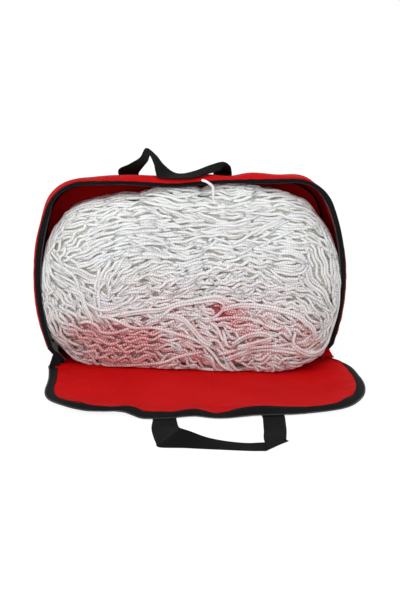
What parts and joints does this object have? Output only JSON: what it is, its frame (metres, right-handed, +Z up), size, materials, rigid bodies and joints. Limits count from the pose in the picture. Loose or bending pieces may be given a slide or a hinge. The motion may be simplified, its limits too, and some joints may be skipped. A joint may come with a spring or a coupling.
{
  "type": "zipped carry bag with sports net",
  "caption": "Soft upright carry bag with a zipped front flap let down, two webbing handles and a bundle of white braided sports netting inside.",
  "frame": {"origin": "middle of the bag's base, on the surface it stands on", "axes": "+X to the right as seen from the opening, -Y towards the opening and the flap on the floor, +Z up"},
  "size_m": [0.594, 0.7124, 0.3955],
  "materials": {
    "red_cloth": "woven polyester",
    "red_lining": "woven polyester, coated inside",
    "black_tape": "woven zip tape",
    "zip_coil": "nylon coil",
    "slider_metal": "black lacquer",
    "black_webbing": "woven webbing",
    "net_cord": "braided cord"
  },
  "bodies": {
    "bag": {"base_panel": "red_cloth", "back_panel": "red_cloth", "boxing_strip": "red_cloth", "back_seam_binding": "black_tape", "body_zip_tape": "black_tape", "body_zip_teeth": "zip_coil", "rear_handle_end_left": "black_webbing", "rear_handle_end_right": "black_webbing"},
    "flap": {"flap_panel": "red_lining", "flap_hinge_fold": "red_lining", "flap_zip_tape": "black_tape", "flap_zip_teeth": "zip_coil", "front_handle_end_left": "black_webbing", "front_handle_end_right": "black_webbing"},
    "front_grip": {"front_handle": "black_webbing"},
    "rear_grip": {"rear_handle": "black_webbing"},
    "left_zip_slider": {"left_slider": "slider_metal"},
    "left_zip_tab": {"left_pull_tab": "slider_metal"},
    "right_zip_slider": {"right_slider": "slider_metal"},
    "right_zip_tab": {"right_pull_tab": "slider_metal"},
    "net": {"net_bundle": "net_cord", "net_spill": "net_cord", "loose_net_end": "net_cord"}
  },
  "joints": [
    {"name": "flap_fold", "type": "hinge", "parent": "bag", "child": "flap", "pos_m": [0, -0.105, 0.0013], "axis": [-1, 0, 0], "range_deg": [0, 96], "deforming": ["net_spill"]},
    {"name": "front_handle_swing", "type": "hinge", "parent": "flap", "child": "front_grip", "pos_m": [0.0285, -0.4379, 0.00105], "axis": [1, 0, 0], "range_deg": [-90, 0]},
    {"name": "rear_handle_swing", "type": "hinge", "parent": "bag", "child": "rear_grip", "pos_m": [-0.0165, 0.092, 0.303], "axis": [-1, 0, 0], "range_deg": [0, 95]},
    {"name": "left_slider_run", "type": "hinge", "parent": "bag", "child": "left_zip_slider", "pos_m": [0.093, -0.07526, 0.16079], "axis": [0, 0.9925, -0.1219], "range_deg": [0, 36]},
    {"name": "right_slider_run", "type": "hinge", "parent": "bag", "child": "right_zip_slider", "pos_m": [-0.093, -0.07526, 0.16079], "axis": [0, -0.9925, 0.1219], "range_deg": [0, 36]},
    {"name": "left_tab_swing", "type": "hinge", "parent": "left_zip_slider", "child": "left_zip_tab", "pos_m": [-0.25663, -0.09425, 0.03644], "axis": [0.9431, 0.0405, 0.33], "range_deg": [-110, 0]},
    {"name": "right_tab_swing", "type": "hinge", "parent": "right_zip_slider", "child": "right_zip_tab", "pos_m": [0.25663, -0.09425, 0.03644], "axis": [0.9431, -0.0405, -0.33], "range_deg": [-110, 0]},
    {"name": "net_pull_out", "type": "slide", "parent": "bag", "child": "net", "axis": [0, 1, 0], "range_m": [-0.2, 0]}
  ]
}
